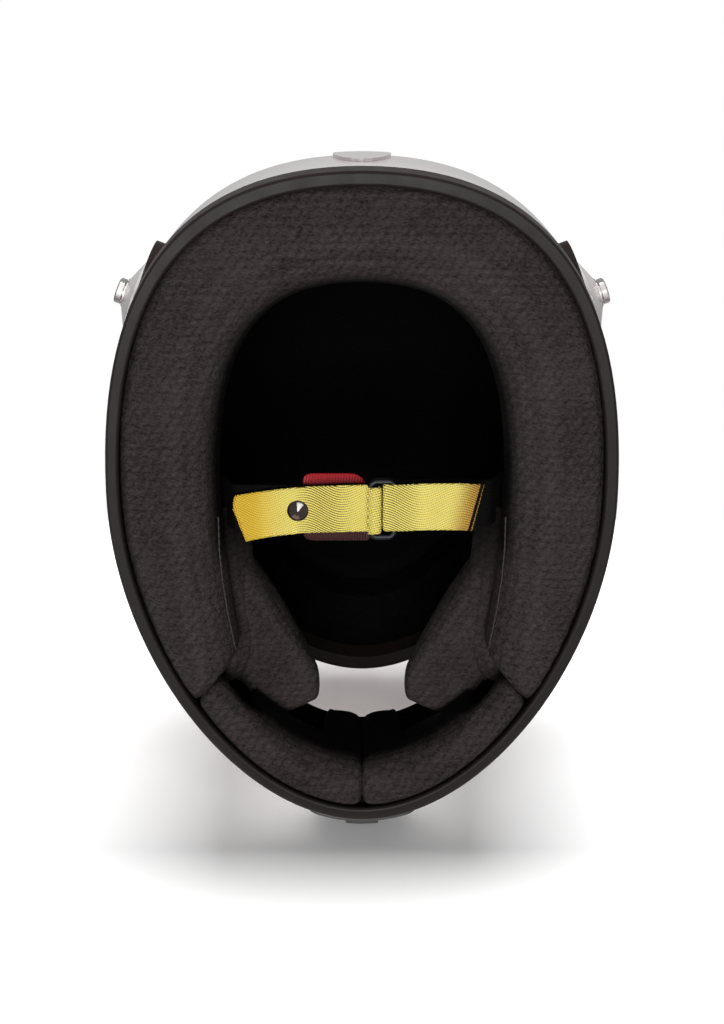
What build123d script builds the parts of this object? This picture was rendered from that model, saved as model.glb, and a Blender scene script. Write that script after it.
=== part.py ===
from build123d import *
import os
from math import hypot

# Lengths are in millimetres. The helmet stands crown up on its base trim, faces -Y, and has the wearer's
# left at +X. Reaches run forward or rearward from the vertical axis through the crown, and heights run up
# from the floor.

# Shell
crown_height = 256
shell_half_width = 127.5
shell_front_reach = 182
shell_rear_reach = 155.3
base_half_width = 120.6
base_front_reach = 170.6
base_rear_reach = 148.5
widest_height = 122
chin_height = 70
nape_height = 85
side_power = 2.35
front_power = 2.2
rear_power = 2.35
front_handle_share = 0.5
rear_handle_share = 0.676
shell_thickness = 4
lower_shares = (0, 0.34, 0.68)
crown_shares = (1, 0.97, 0.89, 0.77, 0.6, 0.4, 0.2, 0.07)
band_shares = (0, 0.5, 1)
overrun = 6
seat_gap = 0.3
run_gap = 0.05

# Eye port, its gasket and the shield
port_bottom_front = 98
port_bottom_rear = 105
port_top_front = 169
port_top_rear = 175
port_ahead = 66
port_corner = 24
gasket_proud = 1.3
gasket_depth = 5.4
gasket_lap = 7
gasket_inner_lip = 2
shield_gap = 2.4
shield_thickness = 2.8
shield_bottom = 84
shield_bottom_rear = 93
shield_top = 186
shield_top_rear = 184
shield_lap = 12
shield_boss_radius = 21
shield_corner = 26
pivot_ahead = 16
pivot_height = 148
pivot_plate_radius = 18
pivot_plate_room = 0.6
pivot_plate_proud = 1.7
pivot_bush_radius = 7
pivot_head_radius = 10.5
pivot_head_height = 3
pivot_head_rim = 0.9
pivot_head_lift = 0.45
pivot_slot_width = 2.4
pivot_slot_depth = 1.4
thread_radius = 3
insert_barrel_radius = 5
insert_flange_radius = 9
insert_flange_height = 1.4
insert_set_back = 0.6
insert_recess_radius = 10
insert_recess_depth = 3.4
shield_tab_height = 91
shield_tab_share = 0.62
shield_tab_width = 22
shield_tab_tall = 9
shield_tab_proud = 5
shield_tab_corner = 2.5
tear_off_heights = (122, 150)
tear_off_share = 0.42
tear_off_radius = 4
tear_off_neck = 2.6
tear_off_proud = 3.6
tear_off_head = 1.6

# Base trim
trim_height = 13
trim_floor = 3
trim_proud = 1.6
trim_side_inset = 4.8
trim_front_inset = 5
trim_rear_inset = 5.4
trim_edge_radius = 1.4

# Foam liners and crown padding
foam_thickness = 27.5
liner_bottom = 47
liner_front_edge_ahead = 0
liner_cut_low = 84
liner_cut_mid_height = 106
liner_cut_mid_ahead = 30
liner_cut_front_ahead = 58
liner_cut_top = 179
comfort_thickness = 9.5
comfort_bottom = 60
comfort_edge_set_back = 3
comfort_groove_width = 5
comfort_groove_depth = 4
comfort_groove_pitch = 34
chin_foam_top = 94
chin_foam_half_width = 108
chin_foam_front = 157.7
strap_bay_ahead = 32

# Neck roll
roll_bottom = 3.6
roll_top = 45.5
roll_half_width = 72
roll_front = 200
roll_rear = 99
roll_side_share = 0.83
roll_nape_share = 0.56
roll_level_shares = (0, 0.05, 0.12, 0.25, 0.45, 0.7, 1)
roll_inset_shares = (0.2, 0.52, 0.74, 0.9, 0.985, 1, 0.97)
roll_end_inner_ahead = 88
roll_end_outer_ahead = 120
roll_end_inner_x = 64
roll_end_outer_x = 92
soft_gap = 0.8

# Chin pads
chin_pad_top = 24
chin_pad_half_width = 103
chin_pad_front = 146.7
chin_pad_level_shares = (0, 0.1, 0.25, 0.5, 0.8, 1)
chin_pad_inset_shares = (0.3, 0.72, 0.93, 1, 0.97, 0.86)
chin_pad_split = 0.5
chin_flap_half_width = 21
chin_flap_top = 76
chin_flap_corner = 8
chin_skirt_half_width = 60
chin_skirt_top = 44

# Cheek pads
cheek_bottom = 46
cheek_top = 97
cheek_rear_ahead = 36
cheek_rear_inner_x = 64
cheek_tip_x = 20
cheek_tip_ahead = 112
cheek_nose_ahead = 128
cheek_front_x = 52
cheek_front_ahead = 143
cheek_outer_x = 96
cheek_outer_ahead = 84
cheek_rear_outer_x = 107
cheek_lean = 12
cheek_center_x = 76
cheek_center_ahead = 82
cheek_level_shares = (0, 0.12, 0.5, 0.88, 1)
cheek_size_shares = (0.95, 0.99, 1, 0.985, 0.9)
cheek_plate_thickness = 1.5
cheek_plate_bottom = 54
cheek_plate_top = 90
cheek_plate_front_ahead = 118
cheek_plate_rear_ahead = 42
snap_stud_radius = 6
snap_stud_length = 8
snap_stud_places = ((54, 72), (80, 64), (104, 80))

# Tether anchors
anchor_height = 84
anchor_share = 0.315
anchor_pad_length = 50
anchor_pad_width = 33
anchor_pad_proud = 1.6
anchor_pad_depth = 8
anchor_pad_shift = 6
anchor_boss_radius = 19.5
anchor_boss_top_radius = 8.2
anchor_boss_height = 6.6
anchor_boss_foot = 1.4
anchor_flange_radius = 7.7
anchor_flange_height = 0.6
anchor_neck_radius = 4.6
anchor_neck_height = 1
anchor_head_radius = 6.75
anchor_head_height = 3.2
anchor_head_chamfer = 0.7
anchor_socket_radius = 2.6
anchor_socket_depth = 2
anchor_thread_depth = 15

# Chin strap and buckle
strap_width = 24
strap_thickness = 2
strap_ahead = 15
strap_wall_x = 118
strap_wall_top = 80
strap_wall_bottom = 51
strap_shelf_height = 48.2
strap_shelf_x = 71
strap_drop_x = 64
strap_span_height = 31
strap_turn_radius = 5
strap_rise_x = 25
strap_loop_top = 34.6
strap_loop_bottom = 25
strap_rise_end_x = 8
long_fold_x = -9.6
short_fold_x = -10.4
short_end_x = -58.5
tail_end_x = 65
tail_root_x = -2
tail_rise_x = 13
tail_flat_x = 25
tail_height = 26.5
ring_wire_radius = 1.5
ring_bar_x = -16.1
ring_depth = 12.2
ring_half_span = 14.3
ring_curve_half = 12.5
ring_curve_back = 3
ring_corner = 3
ring_low = 28.1
ring_high = 31.5
snap_x = 32
snap_radius = 5.35
snap_dome_height = 2.2
snap_ring_radius = 4.8
snap_bore_radius = 2.2
snap_pin_radius = 1.9
snap_pin_height = 1.5
snap_base_height = 0.6
snap_socket_height = 1.6
tab_length = 31.5
tab_width = 34.5
tab_ahead = 16.5
tab_thickness = 1.6
tab_root_x = -1.5
tab_lift = 0.5
tab_corner = 7
tab_ear_width = 3.2
tab_ear_offset = 14.9
tab_ear_back_x = -4
tab_ear_front_x = 5.5
hanger_width = 20
hanger_height = 20
hanger_thickness = 1.6
rivet_radius = 2.5
rivet_head_radius = 5
rivet_head_height = 1.5
rivet_height = 66

# Chin vent
vent_width = 56
vent_bottom = 14
vent_top = 40
vent_corner = 6
vent_proud = 6
vent_skin = 2
vent_rim = 3
vent_slot_width = 36
vent_slot_height = 2.2
vent_slot_corner = 0.7
vent_slot_levels = (26.6, 31, 35.2)
shutter_thickness = 1.6
shutter_play = 1.2
shutter_width = 45
shutter_bottom = 17.4
shutter_top = 34.1
shutter_tab_width = 17
shutter_tab_bottom = 17.8
shutter_tab_height = 3.2
shutter_tab_corner = 1
shutter_tab_proud = 2.5
shutter_travel = 2.2
vent_duct_width = 38
vent_duct_height = 14
vent_duct_level = 30
vent_duct_corner = 4.6
screen_lap = 3
screen_thickness = 1
screen_hole = 2.2
screen_pitch = 3.6
screen_columns = 10
screen_rows = 3

# Rear vent cover
rear_cover_width = 29
rear_cover_bottom = 36
rear_cover_top = 118
rear_cover_proud = 1.6
rear_cover_slot_width = 17
rear_cover_slot_height = 3
rear_cover_slot_levels = (90, 97, 104)
rear_cover_slot_depth = 1
rear_cover_lean = 2

front_limit = shell_front_reach * 2
side_limit = shell_half_width * 2


def meridian(height, reach, base_reach, widest, power):
    """Reach of one meridian of the shell at a height, and its slope there."""
    if height < widest:
        drop = (widest - height) / widest
        return reach - (reach - base_reach) * drop**2, 2 * (reach - base_reach) * drop / widest
    span = crown_height - widest
    rise = (height - widest) / span
    kept = 1 - rise**power
    return reach * kept ** (1 / power), -reach / span * rise ** (power - 1) * kept ** (1 / power - 1)


def meridians(height):
    """The side, front and rear meridians of the shell at a height."""
    return (
        meridian(height, shell_half_width, base_half_width, widest_height, side_power),
        meridian(height, shell_front_reach, base_front_reach, chin_height, front_power),
        meridian(height, shell_rear_reach, base_rear_reach, nape_height, rear_power),
    )


# The crown axis sits where the whole helmet, shield and rear cover included, is centred on the origin.
shield_reach = meridians(shield_bottom)[1][0] + shield_gap + shield_thickness
rear_cover_reach = meridians((rear_cover_bottom + rear_cover_top) / 2)[2][0] + rear_cover_proud
crown_axis_y = (shield_reach - rear_cover_reach) / 2


def ahead(distance):
    """The Y of a place that lies this far in front of the crown axis."""
    return crown_axis_y - distance


def height_where(side_share):
    """The height above the widest one at which the side has shrunk to this share."""
    rise = (1 - side_share**side_power) ** (1 / side_power)
    return widest_height + (crown_height - widest_height) * rise


def oval(level, half_width, front, rear, side_share=rear_handle_share, nape_share=rear_handle_share):
    """One level egg-shaped outline of four curves about the crown axis."""
    mid = crown_axis_y
    with BuildSketch(Plane.XY.offset(level)) as outline:
        with BuildLine():
            for side in (half_width, -half_width):
                Bezier(
                    (side, mid),
                    (side, mid + rear * side_share),
                    (side * nape_share, mid + rear),
                    (0, mid + rear),
                )
                Bezier(
                    (side, mid),
                    (side, mid - front * front_handle_share),
                    (side * front_handle_share, mid - front),
                    (0, mid - front),
                )
        make_face()
    return outline.sketch


def inset_oval(height, level, side_inset, front_inset, rear_inset):
    """The shell's outline at a height, moved inwards square to its surface."""
    side, front, rear = meridians(height)
    lift = -side[1] / hypot(1, side[1])
    if level is None:
        level = height - side_inset * lift
    reaches = []
    for (reach, slope), inset in zip((side, front, rear), (side_inset, front_inset, rear_inset)):
        out = 1 / hypot(1, slope)
        up = -slope * out
        reaches.append(reach - (inset - side_inset * lift * up) / out)
    return oval(level, *reaches)


def hull(bottom, inset):
    """The whole form of the shell as a solid, moved inwards by the inset, from a bottom level up."""
    heights = [bottom + (widest_height - bottom) * share for share in lower_shares]
    sections = [inset_oval(height, height, inset, inset, inset) for height in heights]
    sections += [inset_oval(height_where(share), None, inset, inset, inset) for share in crown_shares]
    with BuildPart() as body:
        loft(sections)
    return body.part


def band(bottom, top, side_inset, front_inset, rear_inset):
    """A slice of the form between two levels."""
    heights = [bottom + (top - bottom) * share for share in band_shares]
    sections = [inset_oval(height, height, side_inset, front_inset, rear_inset) for height in heights]
    with BuildPart() as body:
        loft(sections)
    return body.part


def funnel(rows, *shares):
    """A solid through level ovals, each given as level, half width, front and rear."""
    sections = [oval(*row, *shares) for row in rows]
    with BuildPart() as body:
        loft(sections)
    return body.part


def pad_rows(bottom, top, level_shares, inset_shares, outer, inner):
    """Rows of a funnel whose sides go from an outer oval to an inner one by shares."""
    rows = []
    for level_share, inset_share in zip(level_shares, inset_shares):
        reaches = [far - (far - near) * inset_share for far, near in zip(outer, inner)]
        rows.append((bottom + (top - bottom) * level_share, *reaches))
    return rows


def shell_plane(height, share, facing, inset):
    """A plane on the left of the shell at a share of its rear (facing 1) or front (facing -1) quarter."""
    side, front, rear = meridians(height)
    half_width = side[0]
    reach, handle = (rear[0], rear_handle_share) if facing > 0 else (front[0], front_handle_share)
    left = 1 - share
    x = half_width * (left**3 + 3 * left**2 * share + 3 * left * share**2 * handle)
    y = reach * (3 * left**2 * share * handle + 3 * left * share**2 + share**3)
    run_x = half_width * (-6 * left * share + 3 * handle * (2 * left * share - share**2))
    run_y = reach * 3 * (handle * (left**2 - 2 * left * share) + 2 * left * share)
    size = hypot(run_x, run_y)
    normal = (run_y / size, -run_x / size * facing, 0)
    origin = (x - normal[0] * inset, crown_axis_y + y * facing - normal[1] * inset, height)
    return Plane(origin=origin, x_dir=(-normal[1], normal[0], 0), z_dir=normal)


def mirrored(part, label):
    """Writes the right-hand twin of a left-hand piece."""
    with BuildPart() as twin:
        mirror(part, about=Plane.YZ)
    save(twin, label)
    return twin


def save(piece, label):
    """Names a piece and writes its file."""
    piece.part.label = label
    export_step(piece.part, f"parts/{label}.step")


os.makedirs("parts", exist_ok=True)

# Solids of the form that several pieces share
outside = hull(trim_floor, 0)
inside = hull(-overrun, shell_thickness)
foam_outside = hull(liner_bottom, shell_thickness + seat_gap)
foam_inside = hull(liner_bottom - overrun, shell_thickness + foam_thickness)
anchor_plane = shell_plane(anchor_height, anchor_share, 1, 0)
pivot_x = meridians(pivot_height)[0][0]
pivot_plane = Plane(origin=(pivot_x, ahead(pivot_ahead), pivot_height), x_dir=(0, 1, 0), z_dir=(1, 0, 0))
pivot_plane_right = Plane(
    origin=(-pivot_x, ahead(pivot_ahead), pivot_height), x_dir=(0, 1, 0), z_dir=(-1, 0, 0)
)
anchor_plane_right = Plane(
    origin=(-anchor_plane.origin.X, anchor_plane.origin.Y, anchor_height),
    x_dir=(anchor_plane.x_dir.X, -anchor_plane.x_dir.Y, 0),
    z_dir=(-anchor_plane.z_dir.X, anchor_plane.z_dir.Y, 0),
)
rivet_plane = Plane(origin=(0, ahead(strap_ahead), rivet_height), x_dir=(0, 1, 0), z_dir=(1, 0, 0))


def port_outline(grow):
    """The side view of the eye port, grown by a margin."""
    with BuildSketch(Plane.YZ) as outline:
        with BuildLine():
            Polyline(
                (ahead(front_limit), port_bottom_front - grow),
                (ahead(port_ahead - grow), port_bottom_rear - grow),
                (ahead(port_ahead - grow), port_top_rear + grow),
                (ahead(front_limit), port_top_front + grow),
                close=True,
            )
        make_face()
        fillet(outline.vertices().group_by(Axis.X)[-1], radius=port_corner + grow)
    return outline.sketch


# Shell: one hollow moulding with the eye port, the holes of the anchors and pivots, and the chin duct
with BuildPart() as outer_shell:
    add(outside)
    add(inside, mode=Mode.SUBTRACT)
    extrude(port_outline(0), amount=side_limit, both=True, mode=Mode.SUBTRACT)
    for plane in (pivot_plane, pivot_plane_right, anchor_plane, anchor_plane_right):
        with BuildSketch(plane):
            Circle(insert_barrel_radius + run_gap)
        extrude(amount=shell_thickness + overrun, both=True, mode=Mode.SUBTRACT)
    with BuildSketch(rivet_plane):
        Circle(rivet_radius + run_gap)
    extrude(amount=side_limit, both=True, mode=Mode.SUBTRACT)
    with BuildSketch(Plane.XZ):
        with Locations((0, vent_duct_level)):
            RectangleRounded(vent_duct_width, vent_duct_height, vent_duct_corner)
    extrude(amount=front_limit, mode=Mode.SUBTRACT)
save(outer_shell, "outer_shell")

# Base trim: a rubber channel pushed over the lower edge of the shell
with BuildPart() as base_trim:
    add(band(0, trim_height, -trim_proud, -trim_proud, -trim_proud))
    add(
        band(-overrun, trim_height + overrun, trim_side_inset, trim_front_inset, trim_rear_inset),
        mode=Mode.SUBTRACT,
    )
    fillet(base_trim.edges().group_by(Axis.Z)[0], radius=trim_edge_radius)
    add(outer_shell.part, mode=Mode.SUBTRACT)
save(base_trim, "base_trim")

# Eye port gasket: a rubber channel round the opening
with BuildPart() as eye_port_gasket:
    add(hull(port_bottom_front - gasket_lap - overrun, -gasket_proud))
    add(hull(port_bottom_front - gasket_lap - overrun * 2, gasket_depth), mode=Mode.SUBTRACT)
    extrude(port_outline(gasket_lap), amount=side_limit, both=True, mode=Mode.INTERSECT)
    extrude(port_outline(-gasket_inner_lip), amount=side_limit, both=True, mode=Mode.SUBTRACT)
    add(outer_shell.part, mode=Mode.SUBTRACT)
save(eye_port_gasket, "eye_port_gasket")

# Crown liner: rigid foam over the head, open at the face and at the strap bays
with BuildPart() as crown_impact_liner:
    add(foam_outside)
    add(foam_inside, mode=Mode.SUBTRACT)
    with BuildSketch(Plane.YZ):
        with BuildLine():
            Polyline(
                (ahead(front_limit), -overrun),
                (ahead(liner_front_edge_ahead), -overrun),
                (ahead(liner_front_edge_ahead), liner_cut_low),
                (ahead(liner_cut_mid_ahead), liner_cut_mid_height),
                (ahead(liner_cut_front_ahead), liner_cut_mid_height + gasket_lap),
                (ahead(liner_cut_front_ahead), liner_cut_top),
                (ahead(front_limit), liner_cut_top),
                close=True,
            )
        make_face()
    extrude(amount=side_limit, both=True, mode=Mode.SUBTRACT)
    for plane in (pivot_plane, pivot_plane_right, anchor_plane, anchor_plane_right):
        with BuildSketch(plane.offset(-shell_thickness - insert_recess_depth)):
            Circle(insert_recess_radius)
        extrude(amount=insert_recess_depth * 2, mode=Mode.SUBTRACT)
        with BuildSketch(plane.offset(-anchor_thread_depth - seat_gap)):
            Circle(thread_radius + seat_gap)
        extrude(amount=anchor_thread_depth, mode=Mode.SUBTRACT)
    add(eye_port_gasket.part, mode=Mode.SUBTRACT)
save(crown_impact_liner, "crown_impact_liner")

# Crown comfort liner: padded fabric inside the foam, with sewn channels from front to rear
with BuildPart() as crown_comfort_liner:
    add(hull(comfort_bottom, shell_thickness + foam_thickness + seat_gap))
    add(
        hull(comfort_bottom - overrun, shell_thickness + foam_thickness + comfort_thickness),
        mode=Mode.SUBTRACT,
    )
    with BuildSketch(Plane.YZ):
        with BuildLine():
            Polyline(
                (ahead(front_limit), -overrun),
                (ahead(liner_front_edge_ahead - comfort_edge_set_back), -overrun),
                (ahead(liner_front_edge_ahead - comfort_edge_set_back), liner_cut_low),
                (ahead(liner_cut_mid_ahead), liner_cut_mid_height + comfort_edge_set_back),
                (ahead(liner_cut_front_ahead), liner_cut_mid_height + gasket_lap + comfort_edge_set_back),
                (ahead(liner_cut_front_ahead), liner_cut_top + comfort_edge_set_back),
                (ahead(front_limit), liner_cut_top + comfort_edge_set_back),
                close=True,
            )
        make_face()
    extrude(amount=side_limit, both=True, mode=Mode.SUBTRACT)
    with BuildSketch(Plane.XY.offset(widest_height)):
        for place in (-1, 0, 1):
            with Locations((place * comfort_groove_pitch, crown_axis_y)):
                Rectangle(comfort_groove_width, shell_half_width)
    extrude(
        amount=crown_height - widest_height - shell_thickness - foam_thickness - comfort_groove_depth,
        mode=Mode.SUBTRACT,
    )
save(crown_comfort_liner, "crown_comfort_liner")

# Chin bar liner: rigid foam in the chin bar, with the duct of the vent through it
chin_foam_oval = (chin_foam_half_width, chin_foam_front, chin_foam_front)
with BuildPart() as chin_bar_impact_liner:
    add(band(chin_pad_top + seat_gap, chin_foam_top, *(shell_thickness + seat_gap,) * 3))
    add(
        funnel(((0, *chin_foam_oval), (crown_height / 2, *chin_foam_oval))),
        mode=Mode.SUBTRACT,
    )
    with BuildSketch(Plane.XY):
        with Locations((0, ahead(strap_bay_ahead) + front_limit / 2)):
            Rectangle(side_limit * 2, front_limit)
    extrude(amount=crown_height, mode=Mode.SUBTRACT)
    with BuildSketch(Plane.XY):
        with Locations((0, ahead(roll_end_outer_ahead) + front_limit / 2)):
            Rectangle(side_limit * 2, front_limit)
    extrude(amount=roll_top + seat_gap, mode=Mode.SUBTRACT)
    with BuildSketch(Plane.XZ):
        with Locations((0, vent_duct_level)):
            Rectangle(vent_duct_width, vent_duct_height)
    extrude(amount=front_limit, mode=Mode.SUBTRACT)
    add(eye_port_gasket.part, mode=Mode.SUBTRACT)
foam_before_studs = chin_bar_impact_liner.part

# Studs that hold the cheek plates: plastic plugs glued into the foam of the chin bar
stud_planes = [
    Plane(origin=(0, ahead(place_ahead), height), x_dir=(0, 1, 0), z_dir=(1, 0, 0))
    for place_ahead, height in snap_stud_places
]
with BuildPart() as stud_rods:
    for plane in stud_planes:
        with BuildSketch(plane):
            Circle(snap_stud_radius)
        extrude(amount=side_limit, both=True)
with BuildPart() as liner_snaps:
    add(foam_before_studs)
    add(stud_rods.part, mode=Mode.INTERSECT)
    add(
        funnel(
            tuple(
                (level, *(reach + snap_stud_length for reach in chin_foam_oval))
                for level in (0, crown_height / 2)
            ),
        ),
        mode=Mode.INTERSECT,
    )
save(liner_snaps, "liner_snaps")

# Neck roll: one knitted cushion, crowned below, drawn in along its inner edge
roll_side = meridians(roll_bottom)[0][0]
roll_nape = base_rear_reach - trim_rear_inset
with BuildPart() as roll_ring:
    add(
        band(
            roll_bottom,
            roll_top,
            trim_side_inset + soft_gap,
            trim_front_inset + soft_gap,
            trim_rear_inset + soft_gap,
        )
    )
    add(
        funnel(
            [
                (roll_bottom - overrun, roll_side, roll_front, roll_nape - soft_gap),
                *pad_rows(
                    roll_bottom,
                    roll_top,
                    roll_level_shares,
                    roll_inset_shares,
                    (roll_side - trim_side_inset, roll_front, roll_nape),
                    (roll_half_width, roll_front, roll_rear),
                ),
                (roll_top + overrun, roll_half_width, roll_front, roll_rear),
            ],
            roll_side_share,
            roll_nape_share,
        ),
        mode=Mode.SUBTRACT,
    )
with BuildPart() as neck_roll:
    add(roll_ring.part)
    with BuildSketch(Plane.XY.offset(-overrun)):
        with BuildLine():
            Polyline(
                (-side_limit, ahead(front_limit)),
                (side_limit, ahead(front_limit)),
                (side_limit, ahead(roll_end_outer_ahead)),
                (roll_end_outer_x, ahead(roll_end_outer_ahead)),
                (roll_end_inner_x, ahead(roll_end_inner_ahead)),
                (-roll_end_inner_x, ahead(roll_end_inner_ahead)),
                (-roll_end_outer_x, ahead(roll_end_outer_ahead)),
                (-side_limit, ahead(roll_end_outer_ahead)),
                close=True,
            )
        make_face()
    extrude(amount=crown_height, mode=Mode.SUBTRACT)
save(neck_roll, "neck_roll")

# Chin pads: two cushions on the rim of the chin bar that meet in the middle and rise behind it
chin_side = meridians(roll_bottom)[0][0]
with BuildPart() as chin_ring:
    add(
        band(
            roll_bottom,
            chin_pad_top,
            trim_side_inset + soft_gap,
            trim_front_inset + soft_gap,
            trim_rear_inset,
        )
    )
    add(
        funnel(
            [
                (roll_bottom - overrun, chin_side, base_front_reach - trim_front_inset, base_rear_reach),
                *pad_rows(
                    roll_bottom,
                    chin_pad_top,
                    chin_pad_level_shares,
                    chin_pad_inset_shares,
                    (chin_side - trim_side_inset, base_front_reach - trim_front_inset, base_rear_reach),
                    (chin_pad_half_width, chin_pad_front, base_rear_reach),
                ),
                (chin_pad_top + overrun, chin_pad_half_width, chin_pad_front, base_rear_reach),
            ],
        ),
        mode=Mode.SUBTRACT,
    )
    with BuildSketch(Plane.XY.offset(-overrun)):
        with BuildLine():
            Polyline(
                (roll_end_outer_x, ahead(roll_end_outer_ahead + soft_gap)),
                (roll_end_inner_x, ahead(roll_end_inner_ahead + soft_gap)),
                (-roll_end_inner_x, ahead(roll_end_inner_ahead + soft_gap)),
                (-roll_end_outer_x, ahead(roll_end_outer_ahead + soft_gap)),
                (-side_limit, ahead(roll_end_outer_ahead + soft_gap)),
                (-side_limit, ahead(-front_limit)),
                (side_limit, ahead(-front_limit)),
                (side_limit, ahead(roll_end_outer_ahead + soft_gap)),
                close=True,
            )
        make_face()
    extrude(amount=crown_height, mode=Mode.SUBTRACT)
with BuildPart() as chin_flap:
    add(
        funnel(
            tuple(
                (level, *(reach - soft_gap for reach in chin_foam_oval))
                for level in (chin_pad_top - overrun, chin_flap_top)
            ),
        )
    )
    add(
        funnel(
            tuple(
                (level, chin_pad_half_width, chin_pad_front, chin_pad_front)
                for level in (chin_pad_top - overrun * 2, chin_flap_top + overrun)
            ),
        ),
        mode=Mode.SUBTRACT,
    )
    with BuildSketch(Plane.XZ) as flap_outline:
        with Locations((chin_flap_half_width / 2, chin_flap_top / 2)):
            RectangleRounded(chin_flap_half_width - chin_pad_split, chin_flap_top, chin_flap_corner)
        with Locations((chin_skirt_half_width / 2, chin_skirt_top / 2)):
            Rectangle(chin_skirt_half_width - chin_pad_split, chin_skirt_top)
    extrude(amount=front_limit, mode=Mode.INTERSECT)
with BuildPart() as chin_pad_left:
    add(chin_ring.part)
    with BuildSketch(Plane.XY.offset(-overrun)):
        with Locations((chin_pad_split / 2 - side_limit, 0)):
            Rectangle(side_limit * 2, front_limit * 2)
    extrude(amount=crown_height, mode=Mode.SUBTRACT)
    add(chin_flap.part)
save(chin_pad_left, "chin_pad_left")
mirrored(chin_pad_left.part, "chin_pad_right")


def cheek_outline(level_share, size_share):
    """One level outline of the left cheek pad, drawn towards its middle and leaning outwards."""
    level = cheek_bottom + (cheek_top - cheek_bottom) * level_share
    places = (
        (cheek_rear_inner_x, cheek_rear_ahead),
        (cheek_tip_x, cheek_tip_ahead),
        (cheek_tip_x, cheek_nose_ahead),
        (cheek_front_x, cheek_front_ahead),
        (cheek_outer_x, cheek_outer_ahead),
        (cheek_rear_outer_x, cheek_rear_ahead),
    )
    points = [
        (
            cheek_center_x + (x - cheek_center_x) * size_share + cheek_lean * level_share,
            ahead(cheek_center_ahead + (distance - cheek_center_ahead) * size_share),
        )
        for x, distance in places
    ]
    with BuildSketch(Plane.XY.offset(level)) as outline:
        with BuildLine():
            Line(points[0], points[1])
            Line(points[1], points[2])
            Line(points[2], points[3])
            ThreePointArc(points[3], points[4], points[5])
            Line(points[5], points[0])
        make_face()
    return outline.sketch


# Cheek pads: deep cushions beside the jaw, snapped to a thin plate on the foam
plate_reaches = tuple(reach - seat_gap for reach in chin_foam_oval)
pad_reaches = tuple(reach - cheek_plate_thickness - seat_gap * 2 for reach in chin_foam_oval)
cheek_sections = [
    cheek_outline(level_share, size_share)
    for level_share, size_share in zip(cheek_level_shares, cheek_size_shares)
]
with BuildPart() as cheek_pad_left:
    loft(cheek_sections)
    add(
        funnel(
            tuple((level, *pad_reaches) for level in (cheek_bottom - overrun, cheek_top + overrun)),
        ),
        mode=Mode.INTERSECT,
    )
save(cheek_pad_left, "cheek_pad_left")
mirrored(cheek_pad_left.part, "cheek_pad_right")

with BuildPart() as cheek_pad_plate_left:
    add(
        funnel(
            tuple((level, *plate_reaches) for level in (cheek_plate_bottom, cheek_plate_top)),
        )
    )
    add(
        funnel(
            tuple(
                (level, *(reach - cheek_plate_thickness for reach in plate_reaches))
                for level in (cheek_plate_bottom - overrun, cheek_plate_top + overrun)
            ),
        ),
        mode=Mode.SUBTRACT,
    )
    with BuildSketch(Plane.XY):
        with Locations((side_limit / 2, ahead((cheek_plate_front_ahead + cheek_plate_rear_ahead) / 2))):
            Rectangle(side_limit, cheek_plate_front_ahead - cheek_plate_rear_ahead)
    extrude(amount=crown_height, mode=Mode.INTERSECT)
save(cheek_pad_plate_left, "cheek_pad_plate_left")
mirrored(cheek_pad_plate_left.part, "cheek_pad_plate_right")

# Tether anchors: black pad, white bevelled boss, steel post and a threaded insert behind the shell
with BuildPart() as anchor_gasket_left:
    with BuildSketch(anchor_plane.offset(anchor_pad_proud)):
        with Locations((anchor_pad_shift, 0)):
            SlotOverall(anchor_pad_length, anchor_pad_width)
        Circle(thread_radius + run_gap, mode=Mode.SUBTRACT)
    extrude(amount=-anchor_pad_proud - anchor_pad_depth)
    add(outside, mode=Mode.SUBTRACT)
save(anchor_gasket_left, "anchor_gasket_left")
mirrored(anchor_gasket_left.part, "anchor_gasket_right")

boss_plane = anchor_plane.offset(anchor_pad_proud)
with BuildPart() as anchor_boss_left:
    with BuildSketch(boss_plane):
        Circle(anchor_boss_radius)
    extrude(amount=anchor_boss_height)
    chamfer(
        anchor_boss_left.faces().sort_by(Axis(anchor_plane.origin, anchor_plane.z_dir))[-1].edges(),
        length=anchor_boss_height - anchor_boss_foot,
        length2=anchor_boss_radius - anchor_boss_top_radius,
    )
    with BuildSketch(boss_plane):
        Circle(thread_radius + run_gap)
    extrude(amount=anchor_boss_height, mode=Mode.SUBTRACT)
save(anchor_boss_left, "anchor_boss_left")
mirrored(anchor_boss_left.part, "anchor_boss_right")

post_plane = boss_plane.offset(anchor_boss_height)
with BuildPart() as anchor_post_left:
    with BuildSketch(anchor_plane.offset(-anchor_thread_depth)):
        Circle(thread_radius)
    extrude(amount=anchor_thread_depth + anchor_pad_proud + anchor_boss_height)
    with BuildSketch(post_plane):
        Circle(anchor_flange_radius)
    extrude(amount=anchor_flange_height)
    with BuildSketch(post_plane.offset(anchor_flange_height)):
        Circle(anchor_neck_radius)
    extrude(amount=anchor_neck_height)
    with BuildSketch(post_plane.offset(anchor_flange_height + anchor_neck_height)):
        Circle(anchor_head_radius)
    extrude(amount=anchor_head_height)
    head_faces = anchor_post_left.faces().sort_by(Axis(anchor_plane.origin, anchor_plane.z_dir))
    chamfer(head_faces[-1].edges(), length=anchor_head_chamfer)
    with BuildSketch(post_plane.offset(anchor_flange_height + anchor_neck_height + anchor_head_height)):
        RegularPolygon(anchor_socket_radius, 6)
    extrude(amount=-anchor_socket_depth, mode=Mode.SUBTRACT)
save(anchor_post_left, "anchor_post_left")
mirrored(anchor_post_left.part, "anchor_post_right")


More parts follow.
